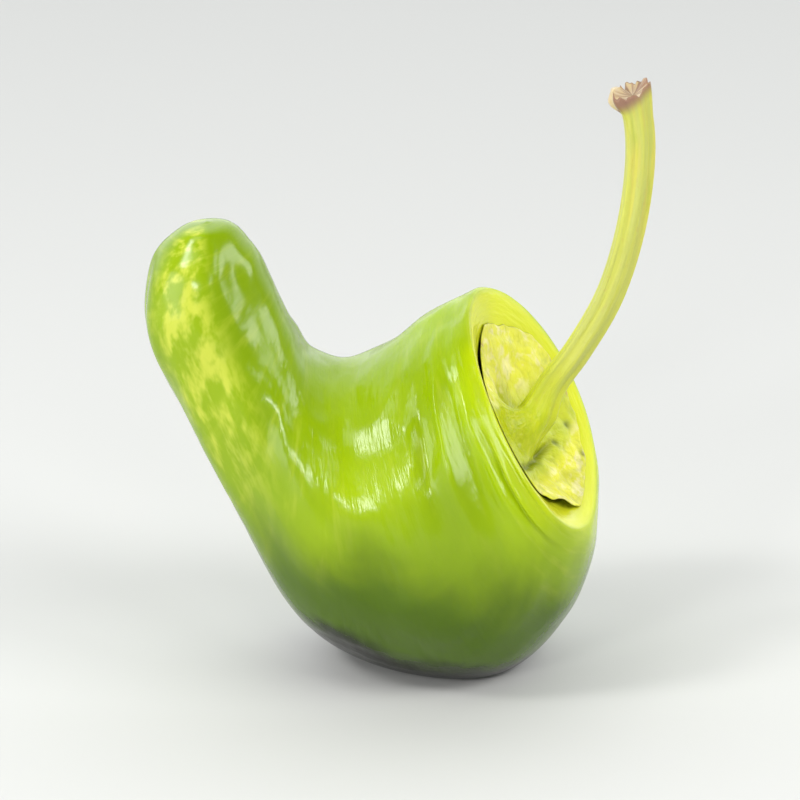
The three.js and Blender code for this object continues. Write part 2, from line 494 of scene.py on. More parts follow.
@dataclass(frozen=True)
class PodSkin:
    """The waxy skin of a fresh pepper, grown thin and smooth over watery flesh.

    The wax gives the eye clear, bright mirror images of the windows, drawn out by fine wrinkles. The
    flesh lets light through a little, which softens the shading and makes the green glow.
    """

    fresh: str = "#9eba04"
    leaf: str = "#7d9a02"
    # Painted shade: the deep green darkens the belly towards the underside.
    deep: str = "#4c6802"
    rim: str = "#b6c804"
    yellow: str = "#ccd24c"
    inner: str = "#d8de28"
    # Painted shade: the hidden colour darkens the hollow's floor under the calyx's margin.
    hidden: str = "#34380a"
    # Painted shadow: nearly black, low on the front left of the underside.
    shadow: str = "#15180a"
    roughness: float = 0.2
    ior: float = 1.39
    glow: float = 0.12
    glow_reach: float = 2.0
    # Heights in millimetres between which the painted shade and the painted shadow come in.
    shaded_green_levels: tuple[float, float] = (29.5, 17.5)
    shadow_levels: tuple[float, float] = (14.5, 11.0)

    def material(self) -> bpy.types.Material:
        """Make the skin's material.

        Returns:
            The material, whose patterns follow the pod's own length and girth.
        """
        material, tree = new_material("fresh pepper skin")
        skin = kept(tree, "skin")
        along, over, _ = parted(tree, kept(tree, "course"))
        # Wax is smoother than it looks here: the wrinkles too fine to model are in the roughness. Green
        # light goes furthest in the flesh, and blue light hardly at all.
        sockets = {
            "Base Color": self.underside(tree, skin, self.colour(tree, skin, along, over)),
            "Roughness": self.roughness,
            "IOR": self.ior,
            "Subsurface Weight": self.glow,
            "Subsurface Radius": (1.0, 1.3, 0.2),
            "Subsurface Scale": self.glow_reach * MM,
            "Normal": self.relief(tree, skin, along),
        }
        shaded(tree, sockets)
        return material

    def colour(self, tree: Tree, skin: Socket, along: Socket, over: Socket) -> Socket:
        """Colour the skin: yellow-green at the shoulder and horn, deeper green on the belly, partly painted
        shade.

        Args:
            tree: The node tree.
            skin: Millimetres along and round the pod.
            along: The place from the rim, 0, to the horn's tip, 1.
            over: The place round it, from 1 at the saddle to -1 at the belly.

        Returns:
            The colour's socket.
        """
        stops = ((0.0, self.rim), (0.1, self.fresh), (0.36, self.fresh), (0.55, self.leaf))
        base = ramp(tree, along, stops)
        # Clouds of leaf green 15 mm long, and yellow streaks 1.4 mm wide that run round the pod.
        clouds = spread(tree, grain(tree, skin, (15.0, 11.0, 11.0), 3.0), 0.4, 0.66)
        base = blended(tree, product(tree, clouds, 0.55), base, self.leaf)
        streaks = spread(tree, grain(tree, skin, (1.4, 9.0, 9.0), 3.0, 0.6), 0.5, 0.75)
        base = blended(tree, product(tree, streaks, 0.22), base, self.yellow)
        # The horn's flank is paler, with yellow patches 3 mm across: partly the skin's own colour, and
        # partly painted highlights where its lumps catch the light from the left. What follows the girth
        # ends before the tip, where all the lines along the pod meet.
        tip = spread(tree, along, 0.995, 0.93)
        flank = band(tree, over, (0.35, -0.1), (-0.95, -0.6))
        flank = product(tree, flank, spread(tree, along, 0.48, 0.62), tip)
        base = blended(tree, product(tree, flank, 0.5), base, self.fresh)
        # Partly painted highlight: the yellow patches on the horn's flank.
        patches = spread(tree, grain(tree, skin, (3.2, 2.4, 2.4), 3.0, 0.6), 0.42, 0.64)
        base = blended(tree, product(tree, flank, patches, 0.8), base, self.yellow)
        # The saddle is leaf green, and the middle of the belly's sides is darkened to leaf green as painted
        # shade.
        saddle = product(tree, spread(tree, along, 0.12, 0.3), spread(tree, over, 0.4, 0.8), tip)
        base = blended(tree, product(tree, saddle, 0.6), base, self.leaf)
        middle = band(tree, along, (0.08, 0.2), (0.45, 0.34))
        sides = product(tree, middle, band(tree, over, (0.5, 0.1), (-0.9, -0.5)))
        # Painted shade: leaf green over the middle of the belly's sides.
        base = blended(tree, product(tree, sides, 0.8), base, self.leaf)
        # The hollow's wall is yellow. Its floor, which the calyx covers, is painted shade: a dull dark
        # green.
        base = blended(tree, spread(tree, along, 0.02, -0.05), base, self.inner)
        return blended(tree, spread(tree, along, -0.27, -0.32), base, self.hidden)

    def underside(self, tree: Tree, skin: Socket, base: Socket) -> Socket:
        """Paint shade into the colour: darker green towards the underside, and a nearly black painted
        shadow low on the front left.

        Args:
            tree: The node tree.
            skin: Millimetres along and round the pod.
            base: The skin's colour before.

        Returns:
            The colour's socket.
        """
        x, y, z = parted(tree, add_node(tree, "ShaderNodeTexCoord").outputs["Object"])
        # The edges wander up and down by some millimetres in waves 9 mm long. The painted shade's edge
        # falls by 4 mm to the right, and the painted shadow's by 4.5 mm to the right and 5 mm to the back.
        level = joined(tree, "ADD", z, product(tree, grain(tree, skin, (9.0, 9.0, 9.0), 3.0), 10 * MM))
        leaning = joined(tree, "ADD", level, product(tree, spread(tree, x, -20 * MM, 18 * MM), 4 * MM))
        top, full = (edge * MM for edge in self.shaded_green_levels)
        # Painted shade: the green deepens below a height.
        base = blended(tree, spread(tree, leaning, top, full), base, self.deep)
        right = product(tree, spread(tree, x, -14 * MM, 4 * MM), 4.5 * MM)
        back = product(tree, spread(tree, y, 0, 15 * MM), 5 * MM)
        level = joined(tree, "ADD", level, right, back)
        top, full = (edge * MM for edge in self.shadow_levels)
        # Painted shadow: nearly black low on the front left, less to the right and the back.
        return blended(tree, spread(tree, level, top, full), base, self.shadow)

    def relief(self, tree: Tree, skin: Socket, along: Socket) -> Socket:
        """Raise the skin's fine wrinkles across the pod and its soft lumps.

        Args:
            tree: The node tree.
            skin: Millimetres along and round the pod.
            along: The place from the rim, 0, to the horn's tip, 1.

        Returns:
            The bumped normal's socket.
        """
        # Real pores are finer than 0.5 mm, and are drawn coarser so that they show.
        lumps = grain(tree, skin, (3.2, 3.2, 3.2), 2.0)
        wrinkles = grain(tree, skin, (0.9, 7.0, 7.0), 3.0, 0.6)
        pores = grain(tree, skin, (0.5, 0.6, 0.6), 1.0)
        fading = band(tree, along, (0.9, 0.2), (0.0, 0.08))
        smoother = spread(tree, along, 0.95, 0.45)
        normal = raised(tree, product(tree, lumps, smoother), 0.12)
        normal = raised(tree, product(tree, wrinkles, fading), 0.08, normal)
        return raised(tree, pores, 0.008, normal)


@dataclass(frozen=True)
class StemSkin:
    """The satin skin of a pepper's calyx and stem, ribbed and dry at its torn end.

    Its fine fibres give the eye stripes along the stem, and broad, soft highlights where the pod has
    clear ones. Where it was torn it is matt: pale pith in a ring of brown bark.
    """

    pale: str = "#bcc05e"
    fresh: str = "#bcc714"
    light: str = "#e2e02c"
    # A painted highlight colour, for the calyx's glints.
    glint_cream: str = "#f8ecb8"
    funnel: str = "#b2bf03"
    moss: str = "#97a616"
    margin: str = "#b7835a"
    # Painted shade: the fold colour darkens the calyx's creases, pits and underside.
    fold: str = "#4f5a0a"
    dry: str = "#d0bf52"
    pith: str = "#cdb98e"
    bark: str = "#94705c"
    roughness: float = 0.36
    ior: float = 1.42
    glow: float = 0.15
    glow_reach: float = 1.5

    def material(self) -> bpy.types.Material:
        """Make the calyx and stem's material.

        Returns:
            The material, whose stripes run along the stem and out to the margin.
        """
        material, tree = new_material("pepper stem skin")
        skin = kept(tree, "skin")
        run, out, torn = parted(tree, kept(tree, "growth"))
        # Green light goes as far as red light in a stem's pith, and blue light hardly at all.
        sockets = {
            "Base Color": self.torn(tree, torn, self.colour(tree, skin, run, out)),
            "Roughness": self.roughness,
            "IOR": self.ior,
            "Subsurface Weight": self.glow,
            "Subsurface Radius": (1.0, 1.0, 0.3),
            "Subsurface Scale": self.glow_reach * MM,
            "Normal": self.relief(tree, skin),
        }
        shaded(tree, sockets)
        return material

    def colour(self, tree: Tree, skin: Socket, run: Socket, out: Socket) -> Socket:
        """Colour the stem pale with tan stripes, and the calyx yellow with painted cream highlights and
        painted shade in its creases and underside.

        Args:
            tree: The node tree.
            skin: Millimetres along and round the stem, and out along the calyx.
            run: Millimetres up the stem from its foot.
            out: The place from the stem's foot, 0, to the calyx's margin, 1.

        Returns:
            The colour's socket.
        """
        light, funnel, crease = parted(tree, kept(tree, "tint"))
        base = blended(tree, spread(tree, run, 14, 3), self.pale, self.fresh)
        tan = product(tree, spread(tree, grain(tree, skin, (11.0, 1.0, 1.0), 2.0), 0.45, 0.65), 0.5)
        base = blended(tree, product(tree, tan, spread(tree, run, 16, 38)), base, self.dry)
        base = blended(tree, light, base, self.light)
        base = blended(tree, funnel, base, self.funnel)
        # Painted highlights: cream mottles 2 mm long where the calyx is lightest. Then light and mossy
        # stripes about 1 mm wide. Real fibres are a few tenths of that, and are drawn coarser so that they
        # show.
        # Painted highlights: cream mottles where the calyx is lightest.
        painted_glints = spread(tree, grain(tree, skin, (2.2, 1.3, 1.3), 3.0, 0.6), 0.48, 0.64)
        base = blended(tree, product(tree, painted_glints, light, 0.6), base, self.glint_cream)
        stripes = spread(tree, grain(tree, skin, (14.0, 0.7, 0.7), 2.0), 0.42, 0.62)
        base = blended(tree, product(tree, stripes, 0.22), base, self.light)
        green = spread(tree, grain(tree, skin, (12.0, 1.1, 1.1), 3.0, 0.6), 0.52, 0.75)
        base = blended(tree, product(tree, green, 0.45), base, self.moss)
        # Brown spots 1 mm across, thick at the margin and few elsewhere.
        spots = spread(tree, grain(tree, skin, (1.2, 0.9, 0.9), 3.0, 0.7), 0.58, 0.72)
        edge = spread(tree, out, 0.93, 1.0)
        base = blended(tree, product(tree, edge, spots), base, self.margin)
        base = blended(tree, product(tree, spots, 0.15), base, self.margin)
        # Painted shade: the creases, pits and wrinkles, and the calyx's underside, are darkened towards
        # olive.
        return blended(tree, product(tree, crease, 0.75), base, self.fold)

    def torn(self, tree: Tree, share: Socket, base: Socket) -> Socket:
        """Colour the torn end by how torn it is: bark from about a half, and pith at 1."""
        base = blended(tree, spread(tree, share, 0.4, 0.8), base, self.bark)
        return blended(tree, spread(tree, share, 0.93, 1.0), base, self.pith)

    def relief(self, tree: Tree, skin: Socket) -> Socket:
        """Raise the fibres along the stem and the fine wrinkles between them.

        Args:
            tree: The node tree.
            skin: Millimetres along and round the stem, and out along the calyx.

        Returns:
            The bumped normal's socket.
        """
        fibres = grain(tree, skin, (9.0, 0.45, 0.45), 2.0)
        wrinkles = grain(tree, skin, (1.5, 0.8, 0.8), 3.0, 0.6)
        return raised(tree, wrinkles, 0.1, raised(tree, fibres, 0.18))


def warped_ball(
    name: str,
    around: int,
    rings: int,
    place: Callable[[float, float], tuple[Vector, dict[str, Triple]]],
    material: bpy.types.Material,
) -> bpy.types.Object:
    """Draw a ball out into a piece, and keep what its material reads.

    Args:
        name: The piece's name.
        around: How many faces it has round.
        rings: How many rings of faces it has from pole to pole.
        place: Gives the point in millimetres for an angle and a ring from 0 to 1, and what the mesh
            keeps there.
        material: The piece's material.

    Returns:
        The new object, at the origin.
    """
    shape = bmesh.new()
    bmesh.ops.create_uvsphere(shape, u_segments=around, v_segments=rings, radius=1.0)
    layers: dict[str, list[float]] = {}
    for vertex in shape.verts:
        ring = math.acos(min(max(vertex.co.z, -1.0), 1.0)) / math.pi
        angle = math.atan2(vertex.co.y, vertex.co.x)
        point, marks = place(angle, round(ring * rings) / rings)
        vertex.co = point * MM
        for key, value in marks.items():
            layers.setdefault(key, []).extend(value)
    bmesh.ops.recalc_face_normals(shape, faces=shape.faces)
    mesh = bpy.data.meshes.new(name)
    shape.to_mesh(mesh)
    shape.free()
    for key, numbers in layers.items():
        mesh.attributes.new(key, "FLOAT_VECTOR", "POINT").data.foreach_set("vector", numbers)
    mesh.polygons.foreach_set("use_smooth", [True] * len(mesh.polygons))
    mesh.materials.append(material)
    piece = bpy.data.objects.new(name, mesh)
    bpy.context.scene.collection.objects.link(piece)
    return piece


@dataclass(frozen=True)
class Pod:
    """The fruit: its hollow, folded shoulder, belly and horn."""

    rim: Rim = Rim()
    skin: PodSkin = PodSkin()
    roll_in: float = 0.85
    rim_blend: float = 0.3
    smooth_tip: float = 0.05
    length: float = 68.0
    hollow_share: float = 0.12
    lump_height: float = 0.3
    lump_size: float = 5.5
    dent_depth: float = 0.45
    dent_size: float = 9.0
    wrinkle_depth: float = 0.12
    wrinkle_width: float = 1.3
    wrinkle_length: float = 8.0
    around: int = 220
    rings: int = 300
    sections: tuple[Section, ...] = (
        Section((2.4, 0.4, 44.1), (17.4, -8.6, 15.5), 0.84, 0.93, 21),
        Section((-1.4, -0.1, 42.1), (15.1, -5.6, 7.5), 0.87, 0.96, 16),
        Section((-5.8, -0.6, 38.5), (8.4, -2.6, 0.1), 0.88, 0.98, 10),
        Section((-10.9, -1.1, 36.3), (-3.4, -1.6, -0.2), 0.88, 0.96, 5),
        Section((-14.2, -1.6, 37.7), (-15.0, -1.6, 5.2), 0.87, 0.88, 0),
        Section((-16.6, -1.1, 41.3), (-23.8, -1.1, 19.5), 0.9, 0.86, 0),
        Section((-18.6, -0.6, 45.5), (-30.3, -0.6, 32.0), 0.92, 0.88, 0),
        Section((-20.4, -0.6, 49.5), (-33.8, -0.6, 41.6), 0.93, 0.9, 0),
        Section((-22.1, -0.6, 51.9), (-32.6, -0.6, 48.9), 0.95, 0.92, 0),
        Section((-23.8, -0.6, 53.1), (-30.0, -0.6, 52.2), 1.0, 1.0, 0),
        Section((-26.3, -0.6, 53.4), (-26.3, -0.6, 53.4), 1.0, 1.0, 0),
    )
    marks: tuple[Mark, ...] = (
        Mark(2.8, 0.4, 0.13, -150, 34),
        Mark(-0.5, 0.034, 0.01, 108, 34),
        Mark(0.4, 0.056, 0.009, 114, 24),
        Mark(-0.5, 0.073, 0.008, 104, 30),
        Mark(0.6, 0.092, 0.01, 96, 22),
        Mark(-0.7, 0.13, 0.018, 80, 32, 0.025),
        Mark(0.7, 0.168, 0.015, 74, 28, 0.035),
        Mark(-0.5, 0.208, 0.02, 62, 26, 0.03),
        Mark(-0.5, 0.46, 0.16, 118, 16),
        Mark(-0.8, 0.38, 0.16, -78, 16),
        Mark(-0.6, 0.2, 0.14, -25, 14),
        Mark(-0.7, 0.62, 0.16, 172, 12),
        Mark(-0.7, 0.7, 0.14, 48, 16),
        Mark(-0.5, 0.84, 0.06, 95, 30),
    )
    lines: dict[str, SmoothLine] = field(default_factory=dict)
    cuts: dict[float, Cut] = field(default_factory=dict)

    def line(self, name: str, angle: float) -> SmoothLine:
        """Give the saddle or the belly line, which starts inside the hollow.

        Args:
            name: Which line: "saddle" or "belly".
            angle: The angle round at which it lies.

        Returns:
            The line.
        """
        if name not in self.lines:
            start = [self.rim.hollow_point(share, angle) for share in (self.roll_in, 1.0)]
            rest = [Vector(getattr(section, name)) for section in self.sections]
            self.lines[name] = SmoothLine(start + rest)
        return self.lines[name]

    def value(self, along: float, name: str, at_rim: float) -> float:
        """Blend a value of the sections at a place along the side.

        Args:
            along: The place, from 0 at the rim to 1 at the horn's tip.
            name: The value's name in a section.
            at_rim: The value at the rim.

        Returns:
            The value.
        """
        values = [at_rim, *(getattr(section, name) for section in self.sections)]
        place = along * (len(values) - 1)
        low = min(int(place), len(values) - 2)
        return mix(values[low], values[low + 1], smoothstep(0, 1, place - low))

    def lift(self, along: float, angle: float) -> float:
        """Give how far the lobes, furrows and dents lift the skin."""
        height = sum(mark.lift(along, angle) for mark in self.marks)
        return height * smoothstep(0, self.smooth_tip, 1 - along)

    def weathering(self, along: float, angle: float, skin: Vector) -> float:
        """Give the height of the lumps, dents and cross wrinkles that a pepper grows.

        Args:
            along: The place along the side.
            angle: The angle round.
            skin: The same place in millimetres along and round.

        Returns:
            The height in millimetres.
        """
        horn = smoothstep(0.55, 0.7, along)
        left = horn * smoothstep(math.radians(95), math.radians(125), abs(angle))
        lumps = self.lump_height * noise.noise(skin / self.lump_size) * (1 - 0.5 * horn + 1.2 * left)
        dent = smoothstep(0.1, 0.55, noise.noise(skin / self.dent_size + Vector((7, 3, 1))))
        dents = -self.dent_depth * dent * (1 - 0.5 * horn)
        # The wrinkles run round the pod, in patches on the front of the belly.
        patch = smoothstep(-0.15, 0.3, noise.noise(skin / self.dent_size + Vector((2, 5, 8))))
        facing = smoothstep(-0.1, 0.5, math.sin(angle)) * bump(along, 0.36, 0.22)
        length = self.wrinkle_length
        wrinkle = noise.noise(Vector((skin.x / self.wrinkle_width, skin.y / length, skin.z / length)))
        wrinkles = -self.wrinkle_depth * (1 - min(abs(wrinkle) * 3, 1)) * patch * facing
        return (lumps + dents + wrinkles) * smoothstep(0, 0.03, along) * smoothstep(0, 0.06, 1 - along)

    def cut(self, along: float) -> Cut:
        """Give the section at a place along the side.

        Args:
            along: The place, from 0 at the rim to 1 at the horn's tip.

        Returns:
            The section.
        """
        if along not in self.cuts:
            spans = len(self.sections) + 1
            share = (1 + along * (spans - 1)) / spans
            saddle = self.line("saddle", 0.0).at(share)
            belly = self.line("belly", math.pi).at(share)
            half = (saddle - belly) / 2
            turn = math.radians(self.value(along, "turn", self.rim.facing))
            facing = Vector((-math.sin(turn), -math.cos(turn), 0))
            across = flattened(facing, half) * half.length if half.length > 1e-6 else Vector()
            near = across * self.value(along, "near", self.rim.near)
            far = across * self.value(along, "far", self.rim.far)
            self.cuts[along] = Cut((saddle + belly) / 2, half, near, far)
        return self.cuts[along]

    def section_point(self, along: float, angle: float) -> tuple[Vector, float]:
        """Give a point on the section at a place along the side.

        Args:
            along: The place, from 0 at the rim to 1 at the horn's tip.
            angle: The angle round, 0 at the saddle and a quarter turn at the folds.

        Returns:
            The point and the section's half height, in millimetres.
        """
        cut = self.cut(along)
        across = cut.near if math.sin(angle) > 0 else cut.far
        outward = cut.half * math.cos(angle) + across * math.sin(angle)
        girth = cut.half.length
        point = cut.middle + outward
        skin = Vector((along * self.length, girth * math.cos(angle), girth * math.sin(angle)))
        height = self.lift(along, angle) + self.weathering(along, angle, skin) * smoothstep(0, 3, point.z)
        return point + outward.normalized() * height, girth

    def place(self, angle: float, ring: float) -> tuple[Vector, dict[str, Triple]]:
        """Place a point of the skin, from the hollow's middle at 0 to the horn's tip at 1.

        Args:
            angle: The angle round.
            ring: The place along.

        Returns:
            The point in millimetres, and what the skin's material reads there: "skin" is millimetres
            along and round, and "course" the place along and how near the saddle it is.
        """
        if ring < self.hollow_share:
            share = math.sin(0.5 * math.pi * ring / self.hollow_share)
            point = self.rim.hollow_point(share, angle)
            along = share - 1
            girth = self.rim.radius(angle) * share
        else:
            along = (ring - self.hollow_share) / (1 - self.hollow_share)
            start, _ = self.section_point(0.0, angle)
            offset = self.rim.hollow_point(1.0, angle) - start
            point, girth = self.section_point(along, angle)
            point = point + offset * (1 - smoothstep(0, self.rim_blend, along))
        point.z = max(point.z, 0.0)
        skin = (along * self.length, girth * math.cos(angle), girth * math.sin(angle))
        return point, {"skin": skin, "course": (along, math.cos(angle), 0.0)}

    def build(self) -> bpy.types.Object:
        """Make the pod."""
        return warped_ball("pod_skin", self.around, self.rings, self.place, self.skin.material())


@dataclass(frozen=True)
class CalyxAndStem:
    """The calyx in the hollow and the ribbed stem that rises from it, as one skin.

    Its margins pair an angle in degrees with a share of the rim's radius. The fold's curve is how far up
    it lies in the middle, its slope and its bend.
    """

    rim: Rim = Rim()
    skin: StemSkin = StemSkin()
    stem_points: tuple[Triple, ...] = (
        (12.9, -6.5, 35.7),
        (15.8, -7.5, 40.4),
        (19.3, -8.6, 47.5),
        (21.6, -9.1, 56.2),
        (22.4, -8.6, 64.2),
        (22.0, -8.1, 68.6),
        (21.1, -7.6, 71.7),
    )
    foot: Triple = (-1.2, 1.3, -2.6)
    foot_rise: float = 1.6
    stem_radius: float = 1.42
    stem_growth: float = 0.24
    flare: float = 3.0
    flare_length: float = 4.0
    flare_facing: float = math.radians(70)
    skirt_rise: float = 4.6
    end_swell: float = 0.6
    end_length: float = 4.0
    torn_depth: float = 0.8
    torn_lean: float = 0.6
    torn_angle: float = math.radians(60)
    cup_depth: float = 0.5
    fibre_depth: float = 0.9
    bark_length: float = 6.0
    bark_slant: float = 0.9
    bark_angle: float = math.radians(50)
    knob_angle: float = math.radians(15)
    knob_width: float = math.radians(42)
    knob_swell: float = 0.7
    knob_rise: float = 2.3
    ribs: int = 6
    stem_rib: float = 0.09
    margins: tuple[tuple[float, float], ...] = (
        (0, 0.74),
        (20, 0.7),
        (45, 0.71),
        (66, 0.79),
        (90, 0.86),
        (120, 0.9),
        (141, 0.76),
        (158, 0.74),
        (166, 0.8),
        (190, 0.86),
        (240, 0.86),
        (300, 0.86),
        (335, 0.76),
        (360, 0.74),
    )
    calyx_reach: float = 14.0
    thickness: float = 0.8
    middle_thickness: float = 2.2
    calyx_rib: float = 0.9
    edge_power: float = 8.0
    edge_height: float = 0.5
    lump_height: float = 0.4
    lump_size: float = 2.4
    crease_depth: float = 0.25
    wrinkle_size: float = 2.6
    fine_wrinkle_size: float = 1.5
    fold_curve: Triple = (-4.3, -0.154, 0.015)
    fold_width: float = 0.5
    fold_depth: float = 0.5
    tooth_angle: float = math.radians(158)
    tooth_width: float = math.radians(17)
    tooth_lift: float = 1.1
    gap_angle: float = math.radians(30)
    gap_width: float = math.radians(30)
    gap_lift: float = 0.3
    pit_radius: float = 0.55
    pits: tuple[tuple[float, float], ...] = ((-3.7, -4.5), (-6.4, -7.8), (-2.6, -8.6))
    skirt_length: float = 3.6
    skirt_near: float = 2.6
    skirt_angle: float = math.radians(62)
    skirt_width: float = math.radians(42)
    around: int = 240
    rings: int = 340
    cup_end: float = 0.05
    stem_end: float = 0.42
    skirt_end: float = 0.6
    margin_end: float = 0.9
    lines: dict[str, SmoothLine] = field(default_factory=dict)
    rings_made: dict[float, Cut] = field(default_factory=dict)

    @property
    def line(self) -> SmoothLine:
        """The stem's middle line, from its foot in the hollow to its torn end."""
        if "stem" not in self.lines:
            foot = self.over_rim(*self.foot)
            rest = [Vector(point) for point in self.stem_points]
            self.lines["stem"] = SmoothLine([foot, foot + self.rim.out * self.foot_rise, *rest])
        return self.lines["stem"]

    def ring_at(self, distance: float) -> Cut:
        """Give the stem's section at a distance from its foot, as if it were 1 mm in radius.

        Args:
            distance: The distance along the stem's middle line.

        Returns:
            The section.
        """
        if distance not in self.rings_made:
            way = self.line.way_at(distance)
            side = flattened(self.rim.side, way)
            self.rings_made[distance] = Cut(self.line.at_distance(distance), side.cross(way), side, side)
        return self.rings_made[distance]

    def stem_point(self, distance: float, angle: float, shrink: float = 1.0) -> Vector:
        """Give a point on the stem's skin.

        Args:
            distance: The distance from the foot.
            angle: The angle round.
            shrink: How much of its radius is used.

        Returns:
            The point in millimetres.
        """
        length = self.line.length
        facing = 0.65 + 0.35 * math.cos(angle - self.flare_facing)
        flare = self.flare * facing * math.exp(-((max(distance, 0) / self.flare_length) ** 1.4))
        swell = self.end_swell * smoothstep(length - self.end_length, length, distance)
        below = length - distance
        bulge = smoothstep(3.4, 1.8, below) * mix(-0.4, 1, smoothstep(-0.2, 1.4, below))
        swell += self.knob_swell * self.knob(angle) * bulge
        ribs = 1 + self.stem_rib * math.cos(self.ribs * angle)
        growth = self.stem_growth * distance / length
        radius = (self.stem_radius + growth + flare + swell) * ribs * shrink
        ring = self.ring_at(distance)
        return ring.middle + ring.half * (radius * math.cos(angle)) + ring.near * (radius * math.sin(angle))

    def knob(self, angle: float) -> float:
        """Give how much of the torn end's knob lies at an angle round the stem, 0 to 1."""
        return bump(wrapped(angle - self.knob_angle), 0, self.knob_width)

    def over_rim(self, up: float, side: float, height: float) -> Vector:
        """Give a point over the rim's plane, from millimetres along its long and its short way."""
        rim = self.rim
        return Vector(rim.centre) + rim.up * up + rim.side * side + rim.out * height

    def margin(self, angle: float) -> tuple[float, float]:
        """Give where the calyx's margin lies.

        Args:
            angle: The angle round the hollow's middle.

        Returns:
            The place on the rim's plane, in millimetres along its long and its short way.
        """
        degrees = math.degrees(angle) % 360
        reach = 1.0
        for (low, first), (high, second) in zip(self.margins, self.margins[1:]):
            if low <= degrees <= high:
                reach = mix(first, second, smoothstep(low, high, degrees))
        circle = Vector((math.cos(angle), math.sin(angle), 0))
        reach += 0.03 * noise.noise(circle * 3.5) + 0.015 * noise.noise(circle * 9)
        radius = reach * self.rim.radius(angle)
        return radius * math.cos(angle), radius * self.rim.width(angle) * math.sin(angle)

    def spot(self, share: float, angle: float) -> tuple[float, float]:
        """Give the place on the rim's plane at a share of the way from the stem's foot to the margin."""
        end = self.margin(angle)
        return mix(self.foot[0], end[0], share), mix(self.foot[1], end[1], share)

    def fold(self, up: float, side: float) -> float:
        """Give how deep a place lies in the fold, which fades out behind the stem, 0 to 1."""
        return bump(self.fold_side(up, side), 0, self.fold_width) * smoothstep(-7, -1, side)

    def fold_side(self, up: float, side: float) -> float:
        """Give how far a place lies above the fold that crosses the calyx under the stem."""
        start, slope, bend = self.fold_curve
        return up - (start + slope * side + bend * side**2)

    def creases(self, up: float, side: float) -> float:
        """Give how deep a place on the calyx lies in the fold, a pit or a wrinkle.

        Args:
            up: Millimetres along the rim's long way.
            side: Millimetres along its short way.

        Returns:
            The depth, from 0 to 1.
        """
        pits = max(bump(math.hypot(up - pit[0], side - pit[1]), 0, self.pit_radius) for pit in self.pits)
        spot = Vector((up, side, 0))
        wrinkles = max(1 - abs(noise.noise(spot / self.wrinkle_size)) * 6, 0) * 0.3
        fine = noise.noise(spot / self.fine_wrinkle_size + Vector((4, 2, 6)))
        wrinkles += max(1 - abs(fine) * 6, 0) * 0.16
        below = smoothstep(-1, -5, self.fold_side(up, side))
        return min(max(self.fold(up, side), pits, wrinkles * below, wrinkles * 0.5), 1.0)

    def calyx_point(self, share: float, angle: float, upper: bool) -> Vector:
        """Give a point on the calyx.

        Args:
            share: The place from the stem's foot, 0, to the margin, 1.
            angle: The angle round.
            upper: Whether it is on its upper side.

        Returns:
            The point in millimetres.
        """
        up, side = self.spot(share, angle)
        turn = math.atan2(side, up)
        for _ in range(3):
            turn = math.atan2(side / self.rim.width(turn), up)
        radius = math.hypot(up, side / self.rim.width(turn)) / self.rim.radius(turn)
        tooth = self.tooth_lift * bump(wrapped(turn - self.tooth_angle), 0, self.tooth_width)
        gap = self.gap_lift * bump(wrapped(turn - self.gap_angle), 0, self.gap_width)
        under = 0.1 - self.rim.depth(radius) + (tooth + gap) * smoothstep(0.55, 1, share)
        height = under
        if upper:
            below = smoothstep(-0.5, -2.5, self.fold_side(up, side))
            rib = self.calyx_rib * math.cos(self.ribs * angle) * share * (1 - share)
            lump = noise.noise(Vector((up, side, 0)) / self.lump_size + Vector((1, 7, 3)))
            lumps = self.lump_height * lump * (1 + below)
            thick = mix(self.thickness, self.middle_thickness, (1 - min(radius, 1) ** 2) ** 2)
            plateau = thick - self.rim.depth(radius) + rib + lumps - 0.3 * below
            over = mix(plateau, under + self.edge_height, smoothstep(0.8, 1, share))
            sunk = self.fold_depth * self.fold(up, side) + self.crease_depth * self.creases(up, side)
            over -= sunk * (1 - smoothstep(0.9, 1, share))
            height = mix(under, max(over, under), math.sqrt(max(1 - share**self.edge_power, 0)))
        return self.over_rim(up, side, height)

    def skirt_reach(self, angle: float) -> float:
        """Give the share of the way to the margin at which the stem's flare ends.

        Args:
            angle: The angle round the stem's foot.

        Returns:
            The share, from 0 at the foot to 1 at the margin.
        """
        near = bump(wrapped(angle - self.skirt_angle), 0, self.skirt_width)
        end = self.margin(angle)
        away = math.hypot(end[0] - self.foot[0], end[1] - self.foot[1])
        return min((self.skirt_length + self.skirt_near * near) / away, 0.86)

    def skirt_point(self, share: float, angle: float) -> Vector:
        """Give a point on the skirt that joins the stem to the calyx.

        Args:
            share: The place from the stem, 0, to the calyx, 1.
            angle: The angle round.

        Returns:
            The point in millimetres, on a Hermite curve that leaves the stem and meets the calyx
            in the way that each runs.
        """
        reach = self.skirt_reach(angle)
        top = self.stem_point(self.skirt_rise, angle)
        down = (self.stem_point(self.skirt_rise - 0.2, angle) - top) * 5 * self.skirt_rise
        foot = self.calyx_point(reach, angle, True)
        away = (self.calyx_point(reach + 0.02, angle, True) - foot) * 50 * 0.35
        t = share
        blend = 3 * t**2 - 2 * t**3
        leave = t**3 - 2 * t**2 + t
        arrive = t**3 - t**2
        return top * (1 - blend) + down * leave + foot * blend + away * arrive

